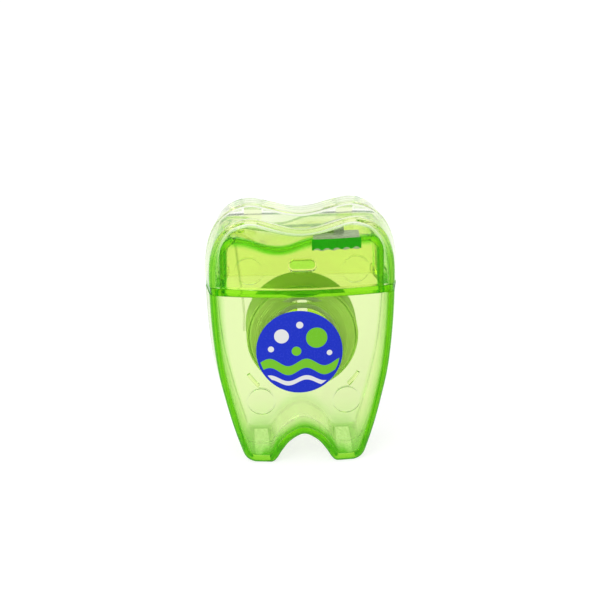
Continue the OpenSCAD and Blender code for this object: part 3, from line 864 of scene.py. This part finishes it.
green_print, white_print = print_mask(green_wave, green_discs), print_mask(white_wave, white_discs)
inside = disc_mask(0, 0, label_r - print_border)
speckle = nodes.noise(place, 3000.0, 2.0)
blue = nodes.tone(speckle, (0.013, 0.037, 0.66, 1), (0.019, 0.046, 0.71, 1))
with_green = nodes.tone(green_print * inside, blue, (0.22, 0.68, 0.03, 1))
printed = nodes.tone(white_print * inside, with_green, (0.96, 0.97, 0.96, 1))
nodes.paint({
    "Base Color": printed,
    "Roughness": speckle * 0.06 + 0.24,
    "Specular IOR Level": 0.15,
    "Normal": nodes.bump(speckle, 0.05, 0.02),
})
disc = label_disc()
place_piece("front_label_film", disc, label_film, "case", "label_film", "front_label", sharp_degrees=60)

# Neck.
# A green inner moulding in the open top of the shells. Its deck has the exit hole and carries the cutter,
# behind a thin scalloped lip. The small nub on its front snaps into the window of the lid.
neck_inset, deck_drop = 2.7, 5.2
neck_half_w = case_w / 2 - neck_inset
neck_wall, neck_gap, neck_draft = 1.0, 0.8, 0.3
deck_z = case_h - deck_drop
dip = 1.6
neck_back = hinge_y - knuckle_r - lid_gap
rest_gap = 0.15
flange_step = 0.1
neck_edge, neck_inner_edge = 0.55, 0.25
exit_r, exit_inset, exit_cut, rim_up = 1.0, 3.4, 3.0, 0.2
exit_x = neck_half_w - exit_inset

# Deck line from left to right: shares of the neck's half width, then of the dip below the deck.
deck_shares = [
    (-1, -2.2), (-0.99, -1.45), (-0.955, -0.85), (-0.915, -0.38), (-0.875, -0.1), (-0.84, 0), (-0.73, 0),
    (-0.6, -0.3), (-0.44, -0.82), (-0.29, -1), (-0.15, -0.82), (0, -0.3), (0.12, 0), (0.3, 0), (0.6, 0),
    (0.84, 0), (0.875, -0.1), (0.915, -0.38), (0.955, -0.85), (0.99, -1.45), (1, -2.2),
]
deck_curve = curve_through(deck_shares, 10)


def deck_height(x, inset):
    """Height of the deck over the middle of its depth, moved down by a wall."""
    w = neck_half_w - inset
    return np.interp(x, deck_curve[:, 0] * w, deck_z + np.minimum(deck_curve[:, 1], 0) * dip - inset)


def neck_front(x):
    return front_inside(x) + neck_gap


def neck_ring(inset, count=480, softness=5):
    """Plan of the neck moved in by a wall, as evenly spaced points with softened corners."""
    w, back = neck_half_w - inset, neck_back - inset
    front_w, back_w = w - neck_draft, w - back_draft
    across = np.linspace(0, front_w, 40)
    front_part = [(x, neck_front(x) + inset) for x in across]
    right = front_part + [(w, 0), (back_w, back), (0, back)]
    left = [(-x, y) for x, y in right[::-1]]
    ring = evenly(np.array(right + left[1:]), count=count)
    for _ in range(softness):
        ring = (np.roll(ring, 1, axis=0) + 2 * ring + np.roll(ring, -1, axis=0)) / 4
    return ring


def neck_rings(inset, radius, softness, side_steps=14, edge_steps=6, deck_steps=12):
    rings = []
    plan = neck_ring(inset, softness=softness)
    top = deck_height(plan[:, 0], inset) - radius
    for share in np.arange(side_steps + 1) / side_steps:
        rings.append((plan[:, 0], plan[:, 1], shell_top * (1 - share) + top * share))
    for k in range(1, edge_steps + 1):
        angle = math.pi / 2 * k / edge_steps
        plan = neck_ring(inset + radius * (1 - math.cos(angle)), softness=softness)
        top = deck_height(plan[:, 0], inset) - radius * (1 - math.sin(angle))
        rings.append((plan[:, 0], plan[:, 1], top))
    for u in np.arange(1, deck_steps) / deck_steps:
        x, y = plan[:, 0] * (1 - u), plan[:, 1] * (1 - u)
        rings.append((x, y, deck_height(x, inset)))
    end = (0.0, 0.0, float(deck_height(np.zeros(1), inset)[0]))
    return [np.stack(r, axis=1) for r in rings], end


window_w, window_h, window_z = 5.6, 2.5, seam_z + 5.0
nub_gap, nub_fit = 0.3, 0.15


def latch_bar(name, w, h, y0, y1, bevel=None):
    """Flat bar with round ends along the depth, centred on the latch."""
    half = (w - h) / 2
    angles = np.radians(np.linspace(-90, 90, 25))
    outline = [(half + h / 2 * math.cos(a), window_z + h / 2 * math.sin(a)) for a in angles]
    outline += [(-x, 2 * window_z - z) for x, z in outline]
    return bar_along_y(name, outline, y0, y1, bevel)


outer, outer_end = neck_rings(0, neck_edge, 5)
inner, inner_end = neck_rings(neck_wall, neck_inner_edge, 2)
neck = skin("neck", outer_end, outer[::-1] + inner, inner_end)
swing_y = hinge_y - front_inside(0)
swing_z = hinge_z - window_z + window_h / 2
swing_r = math.hypot(swing_y, swing_z) - nub_fit
swing = along_x("swing", swing_r, -window_w, window_w, segments=256)
nub_w, nub_h = window_w - 2 * nub_gap, window_h - 2 * nub_gap
nub = latch_bar("nub", nub_w, nub_h, front_face + nub_gap, neck_front(0) + neck_wall / 2, (0.15, 60))
nub = combined(nub, "INTERSECT", swing)
lug_l, lug_h, lug_t, lug_fit = 3.0, 1.6, 1.0, 0.1
side_rows = np.array(outline_shares[6:15])
side_x = np.interp(shell_top - lug_h, side_rows[:, 1] * case_h, side_rows[:, 0] * case_w / 2)
side_x -= wall + lug_fit + 0.25 * draft
lugs = [
    slab("lug", (x, -lug_l / 2, shell_top - lug_h), (x + lug_t, lug_l / 2, shell_top + flange_t / 2))
    for x in (-side_x, side_x - lug_t)
]
flange = sliced(whole_tooth("flange", flange_step, edge_r), (0, 0, seam_z), (0, 0, 1))
flange = sliced(flange, (0, 0, shell_top), (0, 0, -1))
flange = sliced(flange, (0, panel_y - seam_air, 0), (0, 1, 0))
throat_drop = 2.0
throat_outer, throat_end = neck_rings(neck_wall - 0.001, neck_inner_edge, 2)
throat_outer[0] = throat_outer[0] - np.array([0, 0, throat_drop])
throat = skin("throat", (0.0, 0.0, shell_top - throat_drop), throat_outer, throat_end)
open_w = neck_half_w - back_draft - neck_wall
behind = slab("behind", (-open_w, neck_back - neck_wall / 2, shell_top - 1), (open_w, far, seam_z + 1))
flange = combined(flange, "DIFFERENCE", throat, behind)
rim_z = (deck_z - neck_wall * 0.9, deck_z + rim_up)
exit_rim = upright("rim", exit_r + neck_wall, -exit_x, 0, *rim_z, bevel=0.15)
lip_x, lip_w, lip_gap, lip_t = 1.9, 9.6, 0.38, 0.28
lip_low, lip_high, lip_post_h = deck_z - 2.05, deck_z + 0.1, 1.35
scallop_r, scallop_x, scallop_step, scallop_drop, scallop_count = 0.9, 1.0, 1.9, 0.5, 5
lip_y = front_r + neck_front(0) - lip_gap
lip = combined(
    slab("lip", (lip_x, -far, lip_low), (lip_x + lip_w, 0, lip_high)), "INTERSECT",
    upright("lip_front", front_r, 0, lip_y - lip_t, 0, far, segments=512),
)
lip = combined(
    lip, "DIFFERENCE", upright("lip_back", front_r, 0, lip_y, 0, far, segments=512),
    *(along_y("scallop", scallop_r, lip_x + scallop_x + scallop_step * k, lip_low - scallop_drop, -case_d, 0)
      for k in range(scallop_count)),
)
posts = [
    slab("lip_post", (x, neck_front(x) - lip_gap - lip_t / 2, lip_low),
         (x + lip_t / 2, neck_front(x) + neck_wall / 2, lip_low + lip_post_h))
    for x in (lip_x, lip_x + lip_w - lip_t / 2)
]
exit_hole = upright("exit_hole", exit_r, -exit_x, 0, deck_z - exit_cut, deck_z + exit_cut)
neck = combined(neck, "UNION", flange, exit_rim, nub, lip, *posts, *lugs)
neck = cleaned(combined(neck, "DIFFERENCE", exit_hole))

# Where the neck's painted edge green and glow fade, each in millimetres from what its name says.
above_seam, flange_in, below_deck, in_from_side = (0.05, 0.15), (1.2, 1.6), (1.2, 1.5), (1.2, 1.5)
behind_front, before_front, towards_back = (1.3, 1.9), (-0.3, -0.2), (1.0, 4.0)
nub_above_seam, below_lip, lip_itself, nub_share = (0.1, 0.2), (0.0, 1.0), (0.1, 0.2), 0.75
pale_back = (1.0, 3.0)


def neck_painted_edge(x, y, z):
    """Painted edge share on the neck: full round the flange, and along the front edges of the block."""
    depth = y - neck_front(x)
    from_side = case_w / 2 - draft * np.abs(y) / (case_d / 2) - np.abs(x)
    on_flange = fade(z - seam_z, above_seam) * fade(from_side, flange_in)
    on_deck = fade(deck_height(x, 0) - z, below_deck) * fade(depth, behind_front)
    on_side = fade(neck_half_w - neck_draft - np.abs(x), in_from_side) * fade(y, towards_back)
    off_nub = np.maximum(fade(lip_low - z, below_lip), fade(z - seam_z, nub_above_seam))
    on_front = fade(depth, before_front) * np.maximum(off_nub, nub_share)
    return np.maximum(np.maximum(on_flange, on_deck), np.maximum(on_side, on_front))


# The lip is painted fully in the rim's dark green, as the cutter looks seen through the green plastic.
def lip_painted_dark(x, y, z):
    return fade(y - neck_front(x), before_front) * fade(lip_low - z, lip_itself)


neck = mark(neck, neck_painted_edge)
neck = mark(neck, lambda x, y, z: 1 - fade(y, pale_back), "pale")
neck = mark(neck, lip_painted_dark, "painted_dark")
# The neck's painted edge green, and the colour and share of its painted glow.
neck_face_tint, neck_painted_edge_tint = (0.9, 0.945, 0.47, 1), (0.24, 0.92, 0.01, 1)
neck_painted_rim_glow, neck_painted_rim_glow_share = (0.0, 0.5, 0.0, 1), 0.22
neck_plastic = clear_green("neck_plastic", neck_face_tint, neck_painted_edge_tint, neck_painted_rim_glow, neck_painted_rim_glow_share)
place_piece("neck_moulding", neck, neck_plastic, "case", "neck_plastic", "neck")

# Free strand.
# The end of the thread: it rises from the side of the spool through the exit hole, crosses the dip
# in the deck and is held under the tooth of the cutter.
steel = 0.3
cutter_w, cutter_x, cutter_d = 9.0, 2.2, 4.8
flange_h, tooth_h, tooth_l = 2.2, 1.5, 5.6
strand_d, strand_gap, strand_step = 0.6, 0.1, 0.14
ply_count, ply_d, ply_lay = 3, 0.33, 2.4
strand_light_over_deck, near_deck = 0.3, (-1.0, 0.0)
strand_side = floss_r + strand_gap + strand_d / 2
plate_back = neck_front(cutter_x) + cutter_d
strand_y = plate_back - steel - 0.65 * strand_d
strand_top = deck_z + steel + 0.65 * strand_d
strand_path = [
    (-strand_side, 0, spool_z), (-strand_side, 0, spool_z + 0.25 * (deck_z - spool_z)),
    (-0.5 * (strand_side + exit_x), 0, spool_z + 0.6 * (deck_z - spool_z)),
    (-exit_x, 0, deck_z - neck_wall), (-exit_x, 0, deck_z),
]

# Its way over the deck: x, then the share of the depth to the tooth, then how many thicknesses lower.
over_deck_rows = [
    (-exit_x + 0.12 * exit_r, 0, 0.45), (-exit_x + 0.5 * exit_r, 0.03, 0.1), (-exit_x + exit_r, 0.08, 0),
    (-exit_x + 2 * exit_r, 0.15, 0), (-0.65 * exit_x, 0.35, 0.4), (-0.4 * exit_x, 0.6, 0.7),
    (-0.15 * exit_x, 0.8, 0.5), (0.3 * cutter_x, 0.95, 0.1), (cutter_x, 1, 0),
    (cutter_x + 0.3 * tooth_l, 1, 0), (cutter_x + 0.75 * tooth_l, 1, 0),
]
strand_path += [(x, share * strand_y, strand_top - lower * strand_d) for x, share, lower in over_deck_rows]


def plies(path, sides=8):
    """Tubes twisted round a path, as the plies of one thread."""
    step = np.linalg.norm(path[1] - path[0])
    reach = (strand_d - ply_d) / 2
    points, faces = [], []
    for ply in range(ply_count):
        faces += band_faces(len(path), sides, len(points))
        faces.append(tuple(range(len(points), len(points) + sides)))
        for i, p in enumerate(path):
            heading = path[min(i + 1, len(path) - 1)] - path[max(i - 1, 0)]
            heading = heading / np.linalg.norm(heading)
            u = np.cross((0, 1, 0) if abs(heading[1]) < 0.9 else (1, 0, 0), heading)
            u = u / np.linalg.norm(u)
            v = np.cross(heading, u)
            a = 2 * math.pi * (ply / ply_count + i * step / ply_lay)
            centre = p + reach * (math.cos(a) * u + math.sin(a) * v)
            for k in range(sides):
                a = 2 * math.pi * k / sides
                points.append(centre + ply_d / 2 * (math.cos(a) * u + math.sin(a) * v))
        faces.append(tuple(range(len(points) - sides, len(points))))
    return closed_mesh("floss_strand", points, faces)


strand = plies(evenly(curve_through(strand_path, 24), strand_step))
# The strand is painted pale inside the case and partly over the deck: painted light where it is shaded.
strand = mark(strand, lambda x, y, z: np.maximum(fade(z - deck_z, near_deck), strand_light_over_deck), "pale")
place_piece("floss_free_strand", strand, floss_material, "case", "floss", "floss_strand", sharp_degrees=80)

# Thread cutter.
# Thin bright steel, stamped and bent in one piece: a plate on the deck, a flange that hooks over the
# deck's front edge and a sharp tooth raised from the plate, under which the thread is pulled off.
bend_r = 0.4
steel_air = 0.015
cutter_steps, saw_h, saw_steps = 36, 0.12, 9


def cutter_sheet():
    """The bent plate and flange: a row of sections along the width that follow the curved front."""
    deck, outer_r = deck_z + steel_air, bend_r + steel
    rows = []
    for k in range(cutter_steps + 1):
        x = cutter_x + cutter_w * k / cutter_steps
        front = neck_front(x) - steel_air
        lower = deck_z - flange_h + saw_h * math.sin(2 * math.pi * k / saw_steps)
        outside, inside = [(front - steel, lower)], [(front, lower)]
        for a in range(0, 91, 15):
            c, s = math.cos(math.radians(a)), math.sin(math.radians(a))
            outside.append((front + bend_r - outer_r * c, deck - bend_r + outer_r * s))
            inside.append((front + bend_r - bend_r * c, deck - bend_r + bend_r * s))
        outside.append((plate_back, deck + steel))
        inside.append((plate_back, deck))
        rows.append([(x, y, z) for y, z in outside + inside[::-1]])
    count = len(rows[0])
    points = [p for row in rows for p in row]
    faces = band_faces(len(rows), count)
    half = count // 2
    for k, flip in ((0, 1), (len(rows) - 1, -1)):
        faces += [
            (k * count + i, k * count + count - 1 - i, k * count + count - 2 - i, k * count + i + 1)[::flip]
            for i in range(half - 1)
        ]
    return closed_mesh("cutter", points, faces)


plate_top, plate_mid = deck_z + steel, deck_z + 0.05
tooth_side = [
    (0, plate_mid), (0, plate_top), (0.6, plate_top + 0.1), (tooth_l, plate_top + tooth_h),
    (tooth_l + 0.12, plate_top + tooth_h * 0.7), (tooth_l + steel, plate_top), (tooth_l + steel, plate_mid),
]
tooth_side = [(cutter_x + steel + x, z) for x, z in tooth_side]
blade = bar_along_y("blade", tooth_side, plate_back - steel, plate_back, (0.05, -1, 2))
cutter = combined(cutter_sheet(), "UNION", blade)
cutter_steel, nodes, place = new_material("cutter_steel")
stretched = nodes.add("ShaderNodeMapping", inputs={"Vector": place, "Scale": (1.0, 14.0, 14.0)})
brushed = nodes.noise(stretched, 420.0, 3.0)
nodes.paint({
    "Base Color": nodes.tone(nodes.noise(place, 300.0, 2.0), (0.36, 0.38, 0.36, 1), (0.5, 0.52, 0.5, 1)),
    "Metallic": 1.0,
    "Roughness": brushed * 0.2 + 0.18,
    "Normal": nodes.bump(brushed, 0.15, 0.02),
})
place_piece("thread_cutter", cutter, cutter_steel, "case", "cutter_steel", "cutter")

# Lid.
# The top of the tooth in the same clear green. It turns on two short rods between its rear cheeks,
# and the window in its front snaps over the nub of the neck.
lid_mark_x, lid_mark_z = 10.3, seam_z + 3.8
rod_reach = 0.5
lid_tint_share, lid_face_tint = 0.12, (0.83, 0.925, 0.7, 1)
# Painted edge green fading towards the lid's top, and the top painted paler as a painted highlight.
lid_top_share, lid_side_fade, lid_top_painted_highlight = 0.22, (-4.0, 1.0), (2.2, 3.7)
lid = combined(whole_tooth("lid", 0, edge_r), "DIFFERENCE", whole_tooth("lid_inside", wall, inner_r))
lid = sliced(lid, (0, 0, seam_z + rest_gap), (0, 0, -1))
rear = slab("rear", (-far, panel_y - lid_gap, -far), (far, far, hinge_z - rim_drop))
room_r = knuckle_r + lid_gap
notches = []
for s in (-1, 1):
    x0, x1 = s * hinge_x - knuckle_w / 2 - lid_gap, s * hinge_x + knuckle_w / 2 + lid_gap
    notches += [
        along_x("room", room_r, x0, x1),
        slab("room_back", (x0, hinge_y, hinge_z - room_r), (x1, far, hinge_z + room_r)),
        slab("room_below", (x0, hinge_y - room_r, hinge_z - 2 * room_r), (x1, far, hinge_z)),
    ]
window = latch_bar("window", window_w, window_h, -case_d, 0)
marks = [ring_mark(s * lid_mark_x, lid_mark_z) for s in (-1, 1)]
lid = combined(lid, "DIFFERENCE", rear, *notches, window, *marks)
hinge_parts = []
for s in (-1, 1):
    reach = knuckle_w / 2 + lid_gap
    for end in (-1, 1):
        x0 = s * hinge_x + end * reach - (cheek_w if end < 0 else 0)
        hinge_parts += [
            along_x("cheek", knuckle_r, x0, x0 + cheek_w, bevel=knuckle_bevel),
            slab("cheek_block", (x0, hinge_y - knuckle_r, hinge_z),
                 (x0 + cheek_w, hinge_y + 0.4 * knuckle_r, case_h - wall * 1.02)),
        ]
    rod_x0, rod_x1 = s * hinge_x - reach - rod_reach, s * hinge_x + reach + rod_reach
    hinge_parts.append(along_x("hinge_rod", rod_r, rod_x0, rod_x1))
hinge_parts = [
    combined(part, "INTERSECT", whole_tooth("lid_middle", wall / 2, inner_r)) for part in hinge_parts
]


def lid_painted_edge(x, y, z):
    """Painted edge share on the lid: as on the tooth, but fading towards the top."""
    return tooth_painted_edge(x, y, z) * (lid_top_share + (1 - lid_top_share) * fade(z - deck_z, lid_side_fade))


lid = mark(cleaned(combined(lid, "UNION", *hinge_parts)), lid_painted_edge)
# The lid's top is painted paler, a painted reflection of the bright light from above.
lid = mark(lid, lambda x, y, z: 1 - fade(z - deck_z, lid_top_painted_highlight), "pale")
lid_plastic = clear_green("lid_plastic", lid_face_tint, density=lid_tint_share * tint_density)
place_piece("lid_moulding", lid, lid_plastic, "lid", "lid_plastic", "lid")
